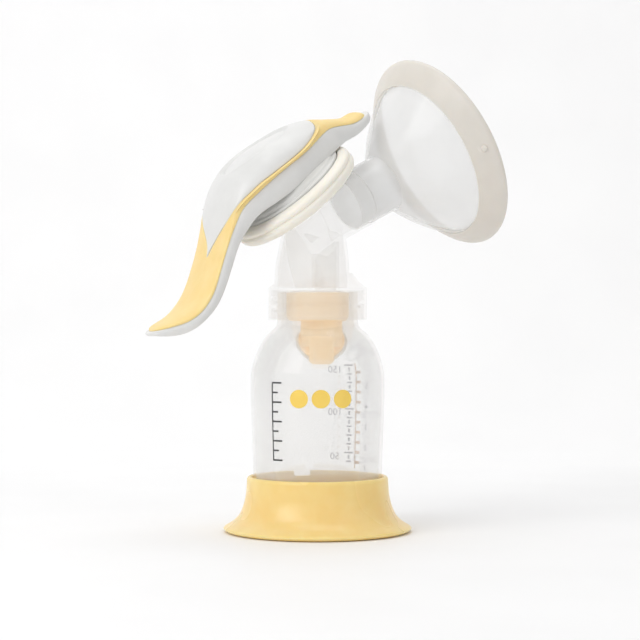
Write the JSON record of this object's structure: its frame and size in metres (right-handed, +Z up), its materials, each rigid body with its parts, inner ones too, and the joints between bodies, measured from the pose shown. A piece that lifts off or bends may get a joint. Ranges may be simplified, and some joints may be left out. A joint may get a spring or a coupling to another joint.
{
  "type": "manual breast pump",
  "caption": "Manual breast pump with clear bottle in a round stand, screw-on connector with valve, slanted funnel shield with soft rim, and two-phase hand lever on a soft diaphragm.",
  "frame": {"origin": "middle of the stand's flat underside, on the surface it stands on", "axes": "+Z up along the bottle's axis; +X towards the shield, -X towards the lever; XZ is the plane of symmetry"},
  "size_m": [0.1681, 0.092, 0.2123],
  "materials": {
    "yellow_plastic": "satin moulded plastic",
    "yellow_grip": "soft-touch overmould",
    "bottle_clear": "clear polypropylene",
    "connector_clear": "translucent polypropylene",
    "shield_clear": "translucent polypropylene",
    "valve_yellow": "satin",
    "white_plastic": "satin gloss",
    "grey_plastic": "satin",
    "white_silicone": "soft matt",
    "rim_soft": "soft matt",
    "cream_silicone": "soft matt"
  },
  "bodies": {
    "stand": {"bottle_stand": "yellow_plastic"},
    "bottle": {"bottle": "bottle_clear"},
    "pump_head": {"connector": "connector_clear", "valve_head": "valve_yellow"},
    "valve_flap": {"valve_membrane": "white_silicone"},
    "shield": {"shield_funnel": "shield_clear", "shield_soft_rim": "rim_soft"},
    "diaphragm_ring": {"diaphragm_rim": "cream_silicone"},
    "diaphragm_cup": {"diaphragm_membrane": "cream_silicone"},
    "handle": {"handle_shell": "white_plastic", "handle_grip": "yellow_grip", "handle_cover": "white_plastic", "handle_rocker": "grey_plastic", "diaphragm_stem": "white_plastic", "stem_o_ring": "cream_silicone"}
  },
  "joints": [
    {"name": "bottle_unscrew", "type": "hinge", "parent": "stand", "child": "bottle", "pos_m": [0, 0, 0.05], "axis": [0, 0, -1], "range_deg": [0, 450]},
    {"name": "head_rise", "type": "slide", "parent": "stand", "child": "pump_head", "axis": [0, 0, 1], "range_m": [0, 0.005]},
    {"name": "flap_lift", "type": "slide", "parent": "pump_head", "child": "valve_flap", "axis": [0.3596, 0.6764, -0.6428], "range_m": [0, 0.0008], "stiffness_N_per_m": 10, "springref_m": -0.001},
    {"name": "shield_swivel", "type": "hinge", "parent": "pump_head", "child": "shield", "pos_m": [0.0339, 0, 0.156], "axis": [0.891, 0, 0.454], "continuous": true},
    {"name": "handle_swivel", "type": "hinge", "parent": "pump_head", "child": "diaphragm_ring", "pos_m": [-0.0122, 0, 0.1494], "axis": [-0.6691, 0, 0.7431], "range_deg": [-90, 90]},
    {"name": "tab_press", "type": "hinge", "parent": "diaphragm_ring", "child": "diaphragm_cup", "pos_m": [0.00393, 0, 0.1681], "axis": [0, 1, 0], "range_deg": [0, 7], "stiffness_Nm_per_rad": 4, "springref_deg": -1.15, "deforming": ["diaphragm_membrane"]},
    {"name": "lever_squeeze", "type": "hinge", "parent": "diaphragm_cup", "child": "handle", "pos_m": [-0.03248, 0, 0.13531], "axis": [0, -1, 0], "range_deg": [0, 20], "stiffness_Nm_per_rad": 2, "springref_deg": -1.72}
  ],
  "couplings": [
    {"joint": "bottle_unscrew", "follows": "head_rise", "rad_per_m": 1570.8}
  ]
}
